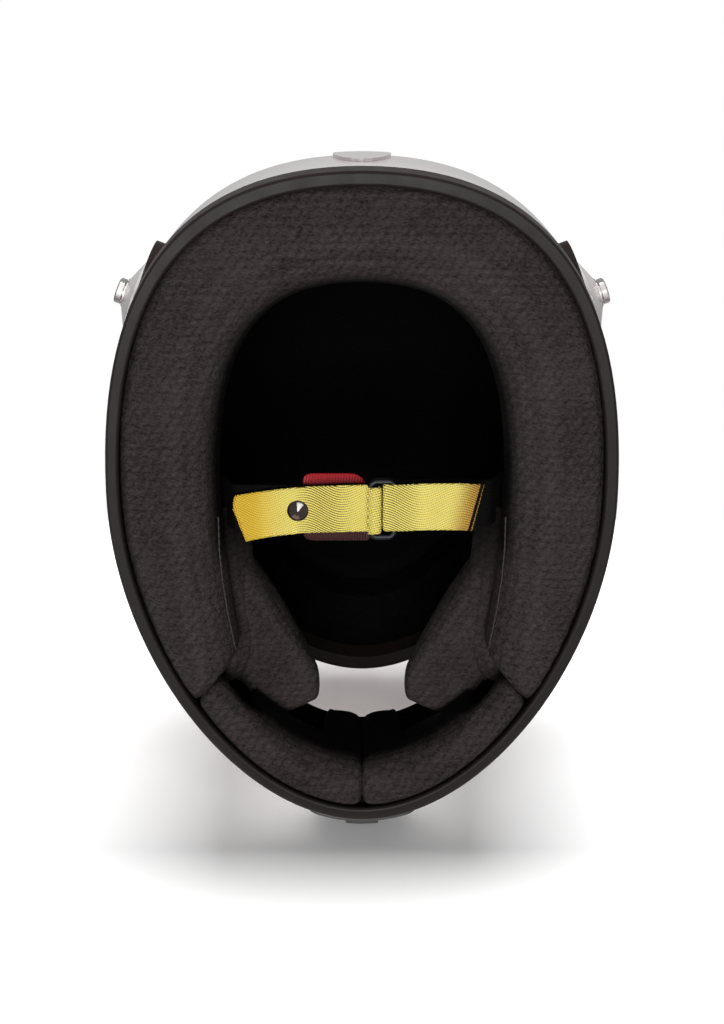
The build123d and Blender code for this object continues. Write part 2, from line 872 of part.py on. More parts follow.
def threaded_insert(plane):
    """A flanged insert whose barrel sits in the shell and whose flange lies on its inner face."""
    with BuildPart() as insert:
        with BuildSketch(plane.offset(-shell_thickness - insert_flange_height)):
            Circle(insert_flange_radius)
        extrude(amount=insert_flange_height * 2)
        add(inside, mode=Mode.INTERSECT)
        with BuildSketch(plane.offset(-shell_thickness - insert_flange_height)):
            Circle(insert_barrel_radius)
        extrude(amount=shell_thickness - insert_set_back)
        with BuildSketch(plane.offset(-shell_thickness - insert_flange_height)):
            Circle(thread_radius + run_gap)
        extrude(amount=shell_thickness + overrun, mode=Mode.SUBTRACT)
    return insert


for label, plane in (("anchor_insert", anchor_plane), ("visor_insert", pivot_plane)):
    insert = threaded_insert(plane)
    save(insert, f"{label}_left")
    mirrored(insert.part, f"{label}_right")

# Shield pivots: base plate on the shell, bush in the shield, screw through both into an insert
plate_face = pivot_plane.offset(pivot_plate_proud)
head_lift = shield_gap + shield_thickness + pivot_head_lift
head_face = pivot_plane.offset(head_lift)
with BuildPart() as visor_pivot_plate_left:
    with BuildSketch(plate_face):
        Circle(pivot_plate_radius)
        Circle(thread_radius + run_gap, mode=Mode.SUBTRACT)
    extrude(amount=-pivot_plate_proud * 2)
    add(outside, mode=Mode.SUBTRACT)
save(visor_pivot_plate_left, "visor_pivot_plate_left")
mirrored(visor_pivot_plate_left.part, "visor_pivot_plate_right")

with BuildPart() as visor_bush_left:
    with BuildSketch(plate_face):
        Circle(pivot_bush_radius)
        Circle(thread_radius + run_gap, mode=Mode.SUBTRACT)
    extrude(amount=head_lift - pivot_plate_proud)
save(visor_bush_left, "visor_bush_left")
mirrored(visor_bush_left.part, "visor_bush_right")

with BuildPart() as visor_screw_left:
    with BuildSketch(head_face):
        Circle(pivot_head_radius)
    extrude(amount=pivot_head_height)
    chamfer(visor_screw_left.edges().group_by(Axis.X)[-1], length=pivot_head_rim)
    with BuildSketch(head_face):
        Circle(thread_radius)
    extrude(amount=-(head_lift + shell_thickness + insert_flange_height))
    with BuildSketch(head_face.offset(pivot_head_height)):
        Rectangle(pivot_head_radius * 2, pivot_slot_width)
    extrude(amount=-pivot_slot_depth, mode=Mode.SUBTRACT)
save(visor_screw_left, "visor_screw_left")
mirrored(visor_screw_left.part, "visor_screw_right")

# Shield: one clear sheet that follows the shell and turns on its two pivots
with BuildPart() as visor_shield:
    add(hull(shield_bottom - overrun, -shield_gap - shield_thickness))
    for plane in (pivot_plane, pivot_plane_right):
        with BuildSketch(plane.offset(-overrun)):
            Circle(shield_boss_radius)
        extrude(amount=overrun + shield_gap + shield_thickness)
    add(hull(shield_bottom - overrun * 2, -shield_gap), mode=Mode.SUBTRACT)
    for plane in (pivot_plane, pivot_plane_right):
        with BuildSketch(plane.offset(-overrun)):
            Circle(pivot_plate_radius + pivot_plate_room)
        extrude(amount=overrun + shield_gap, mode=Mode.SUBTRACT)
    with BuildSketch(Plane.YZ) as shield_outline:
        with BuildLine():
            Polyline(
                (ahead(front_limit), shield_bottom),
                (ahead(port_ahead - shield_lap), shield_bottom_rear),
                (ahead(pivot_ahead), pivot_height - shield_boss_radius),
                (ahead(pivot_ahead), pivot_height + shield_boss_radius),
                (ahead(port_ahead - shield_lap), shield_top_rear),
                (ahead(front_limit), shield_top),
                close=True,
            )
        make_face()
        rear_y = ahead(port_ahead - shield_lap)
        fillet(
            shield_outline.vertices().filter_by(lambda v: abs(v.X - rear_y) < run_gap),
            radius=shield_corner,
        )
        with Locations((ahead(pivot_ahead), pivot_height)):
            Circle(shield_boss_radius)
            Circle(pivot_bush_radius + run_gap, mode=Mode.SUBTRACT)
    extrude(amount=side_limit, both=True, mode=Mode.INTERSECT)
save(visor_shield, "visor_shield")

shield_inset = -shield_gap - shield_thickness
tab_plane = shell_plane(shield_tab_height, shield_tab_share, -1, shield_inset)
with BuildPart() as visor_tab:
    with BuildSketch(tab_plane):
        RectangleRounded(shield_tab_width, shield_tab_tall, shield_tab_corner)
    extrude(amount=shield_tab_proud, both=True)
    add(hull(shield_bottom - overrun * 2, shield_inset), mode=Mode.SUBTRACT)
save(visor_tab, "visor_tab")

with BuildPart() as tear_off_posts:
    for height in tear_off_heights:
        plane = shell_plane(height, tear_off_share, -1, shield_inset)
        with BuildSketch(plane.offset(-shield_thickness)):
            Circle(tear_off_neck)
        extrude(amount=shield_thickness + tear_off_proud)
        with BuildSketch(plane.offset(tear_off_proud - tear_off_head)):
            Circle(tear_off_radius)
        extrude(amount=tear_off_head)
    add(hull(shield_bottom - overrun * 2, shield_inset), mode=Mode.SUBTRACT)
    mirror(tear_off_posts.part, about=Plane.YZ)
save(tear_off_posts, "tear_off_posts")

# Chin vent: bezel with three slots, a shutter behind them that slides up to close, and a screen


def front_prism(width, bottom, top, corner):
    """A block that runs forward from the middle plane, with rounded corners in front view."""
    with BuildPart() as block:
        with BuildSketch(Plane.XZ):
            with Locations((0, (bottom + top) / 2)):
                RectangleRounded(width, top - bottom, corner)
        extrude(amount=front_limit)
    return block.part


def vent_band(inset):
    """The form of the shell about the vent, moved inwards by the inset."""
    return band(vent_bottom - overrun, vent_top + overrun, inset, inset, inset)


shutter_inner = shutter_play
shutter_outer = shutter_inner + shutter_thickness
tab_window_top = shutter_tab_bottom + shutter_tab_height + shutter_travel + seat_gap
with BuildPart() as vent_room:
    add(front_prism(vent_width - vent_rim * 2, vent_bottom + vent_rim, vent_top - vent_rim, vent_rim))
    add(vent_band(-vent_proud + vent_skin), mode=Mode.INTERSECT)
with BuildPart() as chin_vent_bezel:
    add(front_prism(vent_width, vent_bottom, vent_top, vent_corner))
    add(vent_band(-vent_proud), mode=Mode.INTERSECT)
    add(outside, mode=Mode.SUBTRACT)
    add(vent_room.part, mode=Mode.SUBTRACT)
    for level in vent_slot_levels:
        slot_bottom = level - vent_slot_height / 2
        slot = front_prism(vent_slot_width, slot_bottom, slot_bottom + vent_slot_height, vent_slot_corner)
        add(slot, mode=Mode.SUBTRACT)
    window_width = shutter_tab_width + seat_gap * 2
    add(
        front_prism(window_width, shutter_tab_bottom - seat_gap, tab_window_top, seat_gap),
        mode=Mode.SUBTRACT,
    )
save(chin_vent_bezel, "chin_vent_bezel")

with BuildPart() as shutter_handle:
    handle_top = shutter_tab_bottom + shutter_tab_height
    add(front_prism(shutter_tab_width, shutter_tab_bottom, handle_top, shutter_tab_corner))
    add(vent_band(-vent_proud - shutter_tab_proud), mode=Mode.INTERSECT)
    add(vent_band(-shutter_inner - shutter_thickness / 2), mode=Mode.SUBTRACT)
with BuildPart() as chin_vent_shutter:
    add(front_prism(shutter_width, shutter_bottom, shutter_top, vent_rim))
    add(vent_band(-shutter_outer), mode=Mode.INTERSECT)
    add(vent_band(-shutter_inner), mode=Mode.SUBTRACT)
    for level in vent_slot_levels[:-1]:
        slot_bottom = level - vent_slot_height / 2
        slot = front_prism(vent_slot_width, slot_bottom, slot_bottom + vent_slot_height, vent_slot_corner)
        add(slot, mode=Mode.SUBTRACT)
    add(shutter_handle.part)
save(chin_vent_shutter, "chin_vent_shutter")

with BuildPart() as chin_vent_screen:
    screen_tall = vent_duct_height + screen_lap * 2
    screen_bottom = vent_duct_level - screen_tall / 2
    screen_wide = vent_duct_width + screen_lap * 2
    add(front_prism(screen_wide, screen_bottom, screen_bottom + screen_tall, screen_lap))
    add(inside, mode=Mode.INTERSECT)
    add(vent_band(shell_thickness + screen_thickness), mode=Mode.SUBTRACT)
    with BuildSketch(Plane.XZ):
        with Locations((0, vent_duct_level)):
            with GridLocations(screen_pitch, screen_pitch, screen_columns, screen_rows):
                Circle(screen_hole / 2)
    extrude(amount=front_limit, mode=Mode.SUBTRACT)
save(chin_vent_screen, "chin_vent_screen")
with BuildPart() as chin_foam_final:
    add(foam_before_studs)
    add(liner_snaps.part, mode=Mode.SUBTRACT)
    add(chin_vent_screen.part, mode=Mode.SUBTRACT)
save(chin_foam_final, "chin_bar_impact_liner")

# Rear vent cover: a low oval panel at the nape with three louvres
with BuildPart() as rear_vent_cover:
    with BuildSketch(Plane.XZ):
        with Locations((0, (rear_cover_bottom + rear_cover_top) / 2)):
            Ellipse(rear_cover_width / 2, (rear_cover_top - rear_cover_bottom) / 2)
    extrude(amount=-front_limit)
    add(hull(trim_floor, -rear_cover_proud), mode=Mode.INTERSECT)
    add(outside, mode=Mode.SUBTRACT)
    louvre_start = crown_axis_y + shell_rear_reach + rear_cover_proud + rear_cover_lean
    for level in rear_cover_slot_levels:
        with BuildSketch(Plane.XZ.offset(-louvre_start)):
            with Locations((0, level)):
                SlotOverall(rear_cover_slot_width, rear_cover_slot_height)
        extrude(amount=rear_cover_slot_depth + rear_cover_lean, mode=Mode.SUBTRACT)
save(rear_vent_cover, "rear_vent_cover")

# Chin strap: webbing from a hanger on each side, folded through two rings, its tail held by a snap
strap_plane = Plane.XZ.offset(-ahead(strap_ahead))
wall_points = (
    (strap_wall_x, strap_wall_top),
    (strap_wall_x, strap_wall_bottom),
    (strap_shelf_x, strap_shelf_height),
)
fold_radius = (strap_loop_top - strap_loop_bottom) / 2 - run_gap


def webbing(points, radii):
    """Flat webbing along points in the cross-section through the strap."""
    with BuildPart() as strap:
        with BuildSketch(strap_plane):
            with BuildLine() as line:
                FilletPolyline(*points, radius=radii)
            trace(line.line, strap_thickness)
        extrude(amount=strap_width / 2, both=True)
    return strap.part


long_edge = long_fold_x + strap_thickness / 2
short_edge = short_fold_x - strap_thickness / 2
turn = strap_turn_radius
with BuildPart() as strap_long:
    add(
        webbing(
            (
                *wall_points,
                (strap_drop_x, strap_span_height),
                (strap_rise_x, strap_span_height),
                (strap_rise_end_x, strap_loop_top),
                (long_edge, strap_loop_top),
                (long_edge, strap_loop_bottom),
                (tail_root_x, strap_loop_bottom),
            ),
            (turn, turn, turn, turn, turn, fold_radius, fold_radius),
        )
    )
    with BuildSketch(rivet_plane):
        Circle(rivet_radius + run_gap)
    extrude(amount=side_limit, mode=Mode.SUBTRACT)
save(strap_long, "strap_long")

with BuildPart() as strap_short:
    add(
        webbing(
            (
                *((-x, height) for x, height in wall_points),
                (-strap_drop_x, strap_loop_top),
                (short_edge, strap_loop_top),
                (short_edge, strap_loop_bottom),
                (short_end_x, strap_loop_bottom),
            ),
            (turn, turn, turn, fold_radius, fold_radius),
        )
    )
    with BuildSketch(rivet_plane):
        Circle(rivet_radius + run_gap)
    extrude(amount=-side_limit, mode=Mode.SUBTRACT)
save(strap_short, "strap_short")

with BuildPart() as strap_tail:
    add(
        webbing(
            (
                (tail_root_x + seat_gap, strap_loop_bottom),
                (tail_rise_x, strap_loop_bottom),
                (tail_flat_x, tail_height),
                (tail_end_x, tail_height),
            ),
            (turn, turn),
        )
    )
save(strap_tail, "strap_tail")

# Rings: two steel D-rings lying on each other in the loop of the short strap
ring_curve_x = ring_bar_x + ring_depth
for label, level in (("d_ring_inner", ring_high), ("d_ring_outer", ring_low)):
    with BuildPart() as ring:
        with BuildLine(Plane.XY.offset(level)) as wire:
            FilletPolyline(
                (ring_bar_x, ahead(strap_ahead) + ring_half_span),
                (ring_curve_x - ring_curve_back, ahead(strap_ahead) + ring_half_span),
                (ring_curve_x, ahead(strap_ahead) + ring_curve_half),
                (ring_curve_x, ahead(strap_ahead) - ring_curve_half),
                (ring_curve_x - ring_curve_back, ahead(strap_ahead) - ring_half_span),
                (ring_bar_x, ahead(strap_ahead) - ring_half_span),
                radius=ring_corner,
                close=True,
            )
        with BuildSketch(Plane(origin=wire.line @ 0, z_dir=wire.line % 0)):
            Circle(ring_wire_radius)
        sweep(path=wire.line)
    save(ring, label)

# Release tab: a wide red tab whose two ears sit on the upper ring
tab_bottom = strap_loop_top + strap_thickness / 2 + tab_lift
with BuildPart() as release_tab:
    with BuildSketch(Plane.XY.offset(tab_bottom)) as tab_outline:
        with Locations((tab_root_x + tab_length / 2, ahead(tab_ahead))):
            Rectangle(tab_length, tab_width)
        chamfer(tab_outline.vertices().group_by(Axis.X)[0].sort_by(Axis.Y)[-1], length=tab_corner)
        chamfer(tab_outline.vertices().group_by(Axis.X)[-1], length=tab_corner / 2)
    extrude(amount=tab_thickness)
    ear_x = (tab_ear_back_x + tab_ear_front_x) / 2
    with BuildSketch(Plane.XY.offset(ring_high + ring_wire_radius + seat_gap)):
        for side in (-1, 1):
            with Locations((ear_x, ahead(strap_ahead) + side * tab_ear_offset)):
                Rectangle(tab_ear_front_x - tab_ear_back_x, tab_ear_width)
    extrude(amount=tab_bottom + tab_thickness - ring_high - ring_wire_radius - seat_gap)
save(release_tab, "release_tab")

# Snap fastener: domed cap under the tail, socket on the tail, stud on the strap above
snap_place = (snap_x, ahead(strap_ahead))
cap_face = tail_height - strap_thickness / 2
socket_face = tail_height + strap_thickness / 2
stud_face = strap_span_height - strap_thickness / 2
dome_radius = (snap_radius**2 + snap_dome_height**2) / (2 * snap_dome_height)
with BuildPart() as snap_cap:
    with BuildSketch(Plane.XY.offset(cap_face)):
        with Locations(snap_place):
            Circle(snap_radius)
    extrude(amount=-snap_dome_height)
    with Locations((*snap_place, cap_face - snap_dome_height + dome_radius)):
        Sphere(dome_radius, mode=Mode.INTERSECT)
save(snap_cap, "snap_cap")

with BuildPart() as snap_socket:
    with BuildSketch(Plane.XY.offset(socket_face)):
        with Locations(snap_place):
            Circle(snap_ring_radius)
            Circle(snap_bore_radius, mode=Mode.SUBTRACT)
    extrude(amount=snap_socket_height)
save(snap_socket, "snap_socket")

with BuildPart() as snap_stud:
    with BuildSketch(Plane.XY.offset(stud_face)):
        with Locations(snap_place):
            Circle(snap_ring_radius)
    extrude(amount=-snap_base_height)
    with BuildSketch(Plane.XY.offset(stud_face - snap_base_height)):
        with Locations(snap_place):
            Circle(snap_pin_radius)
    extrude(amount=-snap_pin_height)
save(snap_stud, "snap_stud")

# Hangers: steel plates that press the ends of the straps to the shell, each held by one rivet
hanger_face = strap_wall_x - strap_thickness / 2
with BuildPart() as strap_anchor_left:
    with BuildSketch(Plane.YZ.offset(hanger_face)):
        with Locations((ahead(strap_ahead), rivet_height)):
            RectangleRounded(hanger_width, hanger_height, hanger_thickness * 2)
            Circle(rivet_radius + run_gap, mode=Mode.SUBTRACT)
    extrude(amount=-hanger_thickness)
save(strap_anchor_left, "strap_anchor_left")
mirrored(strap_anchor_left.part, "strap_anchor_right")

rivet_base = hanger_face - hanger_thickness - rivet_head_height
with BuildPart() as rivet_left:
    with BuildSketch(rivet_plane.offset(rivet_base)):
        Circle(rivet_head_radius)
    extrude(amount=rivet_head_height)
    with BuildSketch(rivet_plane.offset(rivet_base)):
        Circle(rivet_radius)
    extrude(amount=side_limit)
    add(hull(trim_floor, -rivet_head_height), mode=Mode.INTERSECT)
with BuildPart() as rivet_dome:
    with BuildSketch(rivet_plane.offset(strap_wall_x)):
        Circle(rivet_head_radius)
    extrude(amount=side_limit)
    add(hull(trim_floor, -rivet_head_height), mode=Mode.INTERSECT)
    add(outside, mode=Mode.SUBTRACT)
with BuildPart() as strap_rivets:
    add(rivet_left.part)
    add(rivet_dome.part)
    mirror(strap_rivets.part, about=Plane.YZ)
save(strap_rivets, "strap_rivets")
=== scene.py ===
from math import cos, pi, radians, sin

import bpy
from mathutils import Matrix, Vector


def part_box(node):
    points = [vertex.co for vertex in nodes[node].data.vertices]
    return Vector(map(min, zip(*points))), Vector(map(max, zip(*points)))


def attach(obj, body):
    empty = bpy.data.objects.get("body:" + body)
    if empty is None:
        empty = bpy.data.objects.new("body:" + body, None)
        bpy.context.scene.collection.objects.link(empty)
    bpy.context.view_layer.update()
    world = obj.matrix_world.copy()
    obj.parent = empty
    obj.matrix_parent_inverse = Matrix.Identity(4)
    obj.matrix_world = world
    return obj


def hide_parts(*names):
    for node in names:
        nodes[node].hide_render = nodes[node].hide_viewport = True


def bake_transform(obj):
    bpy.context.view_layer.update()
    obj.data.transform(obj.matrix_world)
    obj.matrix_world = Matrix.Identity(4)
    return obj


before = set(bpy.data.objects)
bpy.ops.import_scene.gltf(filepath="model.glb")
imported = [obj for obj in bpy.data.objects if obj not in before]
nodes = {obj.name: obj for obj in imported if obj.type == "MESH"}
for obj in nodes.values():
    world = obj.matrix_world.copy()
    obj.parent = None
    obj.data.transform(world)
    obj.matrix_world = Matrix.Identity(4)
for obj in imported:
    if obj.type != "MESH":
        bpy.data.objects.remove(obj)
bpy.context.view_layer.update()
bpy.context.scene.view_settings.view_transform = "Standard"

# The photograph looks up into the helmet from below and a little behind, with the nape at the top of the
# picture and the chin bar at its foot.
camera_place = (0, 0.186, -0.625)
camera_tilt = radians(16)
right_in_picture = Vector((-1, 0, 0))
up_in_picture = Vector((0, cos(camera_tilt), sin(camera_tilt)))
ahead_of_camera = Vector((0, -sin(camera_tilt), cos(camera_tilt)))
camera_data = bpy.data.cameras.new("camera")
camera_data.sensor_fit = "VERTICAL"
camera_data.sensor_height = 36
camera_data.lens = 47.76
camera = bpy.data.objects.new("camera", camera_data)
bpy.context.scene.collection.objects.link(camera)
camera_turn = Matrix((right_in_picture, up_in_picture, -ahead_of_camera)).transposed()
camera.matrix_world = Matrix.Translation(camera_place) @ camera_turn.to_4x4()
bpy.context.scene.camera = camera

# Two white boards stand in for the studio: one just under the base, and one behind the face that takes the
# soft shadow of the photograph. Each is white paper that glows a little and shows only from its own front.


class Amount:
    """A value that comes out of a shader node; sums with it add Math nodes."""

    def __init__(self, finish, socket):
        self.finish = finish
        self.socket = socket

    def __add__(self, other):
        return self.finish.maths("ADD", self, other)

    def __sub__(self, other):
        return self.finish.maths("SUBTRACT", self, other)

    def __rsub__(self, other):
        return self.finish.maths("SUBTRACT", other, self)

    def __mul__(self, other):
        return self.finish.maths("MULTIPLY", self, other)

    def __truediv__(self, other):
        return self.finish.maths("DIVIDE", self, other)

    def __pow__(self, other):
        return self.finish.maths("POWER", self, other)

    __radd__ = __add__
    __rmul__ = __mul__


class Finish:
    """The finish of one material: a node tree with one way to add a node."""

    def __init__(self, name, owner=None):
        self.owner = owner or bpy.data.materials.new(name)
        self.owner.use_nodes = True
        self.tree = self.owner.node_tree
        self.tree.nodes.clear()

    def node(self, kind, settings=None, values=None, out=0):
        """Adds a node and gives back one of its outputs, or a list of them where out is a tuple."""
        made = self.tree.nodes.new("ShaderNode" + kind)
        for name, setting in (settings or {}).items():
            setattr(made, name, setting)
        for name, value in (values or {}).items():
            if isinstance(value, Amount):
                self.tree.links.new(value.socket, made.inputs[name])
            elif isinstance(value, tuple) and made.inputs[name].type == "RGBA":
                made.inputs[name].default_value = (*value, 1)
            else:
                made.inputs[name].default_value = value
        if isinstance(out, tuple):
            return [Amount(self, made.outputs[each]) for each in out]
        return Amount(self, made.outputs[out]) if made.outputs else None

    def maths(self, operation, *terms):
        return self.node("Math", {"operation": operation}, dict(enumerate(terms)))

    def mix(self, mask, first, second):
        return self.node("Mix", {"data_type": "RGBA"}, {0: mask, 6: first, 7: second}, 2)

    def ramp(self, value, low, high):
        """Nothing at the low value, all at the high one, with a soft step between."""
        limits = {"Value": value, "From Min": low, "From Max": high}
        return self.node("MapRange", {"interpolation_type": "SMOOTHSTEP"}, limits)

    def place(self):
        """Metres in the frame of the part."""
        return self.node("TexCoord", out="Object")

    def parts(self, vector):
        """The three numbers of a vector."""
        return self.node("SeparateXYZ", None, {0: vector}, (0, 1, 2))

    def joined(self, x, y, z):
        return self.node("CombineXYZ", None, {0: x, 1: y, 2: z})

    def noise(self, scale, detail=2.0, vector=None):
        values = {"Scale": scale, "Detail": detail, "Vector": vector or self.place()}
        return self.node("TexNoise", None, values, "Fac")

    def surface(self, colour, roughness, height=None, depth=0.0, **constants):
        values = {"Base Color": colour, "Roughness": roughness}
        values.update({name.replace("_", " "): value for name, value in constants.items()})
        if height is not None:
            values["Normal"] = self.node("Bump", None, {"Height": height, "Distance": depth, "Strength": 1.0})
        shader = self.node("BsdfPrincipled", None, values)
        self.node("OutputMaterial", None, {"Surface": shader})
        return self.owner


def seen_rays(finish, glossy_share=1.0):
    """One for the rays of the camera and of clear pieces, and a share for those of glossy ones."""
    outputs = ("Is Camera Ray", "Is Glossy Ray", "Is Transmission Ray")
    camera_ray, glossy_ray, clear_ray = finish.node("LightPath", out=outputs)
    return camera_ray + glossy_ray * glossy_share + clear_ray


def board(name, corners, glow):
    finish = Finish(name)
    in_front = 1 - finish.node("NewGeometry", out="Backfacing")
    light = finish.node("Emission", None, {"Color": (1, 1, 1), "Strength": glow})
    paper = finish.node("BsdfDiffuse", None, {"Color": (1, 1, 1)})
    white = finish.node("AddShader", None, {0: light, 1: paper})
    clear = finish.node("BsdfTransparent")
    shown = finish.node("MixShader", None, {0: seen_rays(finish) * in_front, 1: clear, 2: white})
    finish.node("OutputMaterial", None, {"Surface": shown})
    mesh = bpy.data.meshes.new(name)
    mesh.from_pydata(corners, [], [(0, 1, 2, 3)])
    mesh.materials.append(finish.owner)
    piece = bpy.data.objects.new(name, mesh)
    bpy.context.scene.collection.objects.link(piece)


floor_z, floor_half = -0.0006, 8
back_y, back_half, back_low, back_high = -0.1735, 4, -0.9, 0.6
floor_turns = ((-1, -1), (1, -1), (1, 1), (-1, 1))
board("floor", [(x * floor_half, y * floor_half, floor_z) for x, y in floor_turns], glow=0.6)
back_turns = ((-1, back_low), (-1, back_high), (1, back_high), (1, back_low))
board("backdrop", [(x * back_half, back_y, z) for x, z in back_turns], glow=0.06)

# The air all round is white to the eye and gives a faint, even light of its own. Four soft lamps do the rest:
# a wide one beyond the nape that casts the long shadow, one below the rim, and two above.
world = bpy.data.worlds.new("studio")
bpy.context.scene.world = world
air = Finish("studio", world)
ambient = 0.18
strength = seen_rays(air, 0.3) * (1 - ambient) + ambient
backing = air.node("Background", None, {"Color": (1, 1, 1), "Strength": strength})
air.node("OutputWorld", None, {"Surface": backing})
helmet_middle = Vector((0, 0, 0.1))


def softbox(name, place, wide, tall, power, glossy=True):
    """A lamp aimed at the middle of the helmet."""
    data = bpy.data.lights.new(name, "AREA")
    data.shape = "RECTANGLE"
    data.size = wide
    data.size_y = tall
    data.energy = power
    lamp = bpy.data.objects.new(name, data)
    lamp.location = place
    lamp.rotation_euler = (helmet_middle - Vector(place)).to_track_quat("-Z", "Y").to_euler()
    lamp.visible_camera = False
    lamp.visible_glossy = glossy
    bpy.context.scene.collection.objects.link(lamp)


softbox("over_nape", (-0.15, 2.6, 0.4), 2.4, 0.8, 116, glossy=False)
softbox("below_rim", (0.06, 0, -1.5), 0.6, 0.6, 21)
softbox("over_crown", (0.3, -1.1, 1.6), 1.2, 1.2, 26)
softbox("over_face", (0.6, -2.0, 0.9), 1.2, 1.2, 44)

# The shell is a moulded composite with a white gloss lacquer; the anchor bosses and the nape cover are
# moulded separately and lacquered the same.


def dress(finish, *names):
    """Gives CAD pieces their finish."""
    for name in names:
        nodes[name].data.materials.clear()
        nodes[name].data.materials.append(finish)


lacquer = Finish("white_lacquer")
dust = lacquer.noise(18, 3)
ripple = lacquer.noise(420, 1)
white_lacquer = lacquer.surface(
    lacquer.mix(dust, (0.45, 0.42, 0.415), (0.50, 0.47, 0.465)),
    lacquer.noise(60, 3) * 0.1 + 0.1,
    ripple,
    0.00002,
    Coat_Roughness=0.06,
    Coat_Weight=0.5,
)
dress(white_lacquer, "outer_shell", "anchor_boss_left", "anchor_boss_right", "rear_vent_cover")

# Black rubber channels cover the cut edges of the shell: the base trim all round the neck opening, and the
# gasket of the eye port. The pads under the anchor bosses are the same rubber.
rubber = Finish("black_rubber")
bloom = rubber.noise(35, 4)
grain = rubber.noise(1600, 2)
black_rubber = rubber.surface(
    rubber.mix(bloom, (0.008, 0.0055, 0.005), (0.016, 0.0115, 0.0105)),
    rubber.noise(90, 3) * 0.25 + 0.3,
    grain,
    0.00004,
    Specular_IOR_Level=0.12,
)
dress(black_rubber, "base_trim", "eye_port_gasket", "anchor_gasket_left", "anchor_gasket_right")

# The liners of the crown and the chin bar are moulded from black foam beads, whose marks show on their
# surface. They are pressed into the shell and take up a blow.
foam = Finish("bead_foam")
# Painted shade: the foam is painted near black, darker than black foam, as the shade inside the helmet; the
# bead marks vary it.
beads = foam.node(
    "TexVoronoi", {"feature": "SMOOTH_F1"}, {"Vector": foam.place(), "Scale": 300.0}, "Distance"
)
bead_foam = foam.surface(
    foam.mix(beads, (0.0016, 0.0015, 0.0015), (0.0006, 0.0006, 0.0006)),
    beads * 0.2 + 0.65,
    1 - beads,
    0.0006,
    Specular_IOR_Level=0.02,
)
dress(bead_foam, "crown_impact_liner", "chin_bar_impact_liner")

# Crown comfort liner: thin foam in black lining knit, quilted in long channels and clipped into the crown.
# All the cushions wear such a knit: a fine stitch all over, with staggered rows of small dimples, and painted
# shade in its colour.
opening_middle_y = 0.015
opening_side, opening_rear, opening_front = 0.115, 0.1435, 0.165


def knit_finish(name, dark, light, axis=2, bright_at=0.0095, dark_at=0.023, least=0.02, rim=None, jaw=False):
    """Black knit with painted shade: its colour darkens along one axis to stand for the shade inside the
    opening, but not near the rim of the opening or at the jaw.

    The rim is a pair of limits on the squared way out from the middle of the opening, which is 1 at its edge.
    """
    knit = Finish(name)
    spot = knit.parts(knit.place())
    x, y, z = spot
    dashes = knit.noise(1.0, 2.5, knit.joined(x * 560, y * 1000, z * 800))
    dimples = knit.node(
        "TexVoronoi",
        {"feature": "SMOOTH_F1"},
        {
            "Vector": knit.joined(x * 200 + y * 130, y * 260, z * 240),
            "Scale": 1.0,
            "Randomness": 0.25,
            "Smoothness": 0.35,
        },
        "Distance",
    )
    patches = knit.noise(24, 3)
    fuzz = knit.noise(1500, 2)
    tone = dashes * 1.4 + fuzz * 0.7 + patches * 0.5 - dimples * 0.8 - 0.45
    # Painted shade: the colour is mixed towards near black along the axis, from bright_at to dark_at.
    shade = knit.ramp(spot[axis], bright_at, dark_at) * (1 - least)
    if rim:
        back = y - opening_middle_y
        rear_share, front_share = opening_rear**-2, opening_front**-2
        length_share = knit.ramp(back, -0.02, 0.02) * (rear_share - front_share) + front_share
        outward = x * x * opening_side**-2 + back * back * length_share
        shade = shade * (1 - knit.ramp(outward, *rim))
    if jaw:
        shade = shade * (1 - knit.ramp(y, -0.012, -0.036))
    cloth = knit.mix(knit.node("Clamp", None, {"Value": tone}), dark, light)
    return knit.surface(
        knit.mix(shade, cloth, (0.0003, 0.0003, 0.0003)),
        fuzz * 0.1 + 0.85,
        dashes + fuzz * 0.3 - dimples * 0.7,
        0.0008,
        Specular_IOR_Level=0.06,
    )


def new_piece(name, mesh, finish, body="root"):
    """Adds a smooth piece that rides on a body, where one is given."""
    for face in mesh.polygons:
        face.use_smooth = True
    mesh.materials.clear()
    mesh.materials.append(finish)
    piece = bpy.data.objects.new(name, mesh)
    bpy.context.scene.collection.objects.link(piece)
    if body:
        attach(piece, body)
    return piece


def worked(piece):
    """The mesh of a piece with its modifiers worked in."""
    graph = bpy.context.evaluated_depsgraph_get()
    graph.update()
    mesh = bpy.data.meshes.new_from_object(piece.evaluated_get(graph))
    piece.modifiers.clear()
    return mesh


def swell(piece, rest, cap, pressure, held):
    """Blows a piece up from its rest places by its filling, no point further than the cap."""
    fixed = [vertex.index for vertex in piece.data.vertices if held and held(vertex.co)]
    if fixed:
        piece.vertex_groups.new(name="held").add(fixed, 1.0, "REPLACE")
    cloth = piece.modifiers.new("cloth", "CLOTH")
    cloth.settings.quality = 5
    cloth.settings.mass = 0.3
    cloth.settings.tension_stiffness = 15
    cloth.settings.compression_stiffness = 15
    cloth.settings.bending_stiffness = 0.5
    cloth.settings.use_pressure = True
    cloth.settings.uniform_pressure_force = pressure
    cloth.settings.effector_weights.gravity = 0
    if fixed:
        cloth.settings.vertex_group_mass = "held"
    for step in range(1, 19):
        bpy.context.scene.frame_set(step)
    swollen = worked(piece)
    for vertex, place in zip(swollen.vertices, rest):
        move = vertex.co - place
        if move.length > cap:
            vertex.co = place + move * (cap / move.length)
    piece.vertex_groups.clear()
    piece.data = swollen
    bpy.context.scene.frame_set(1)


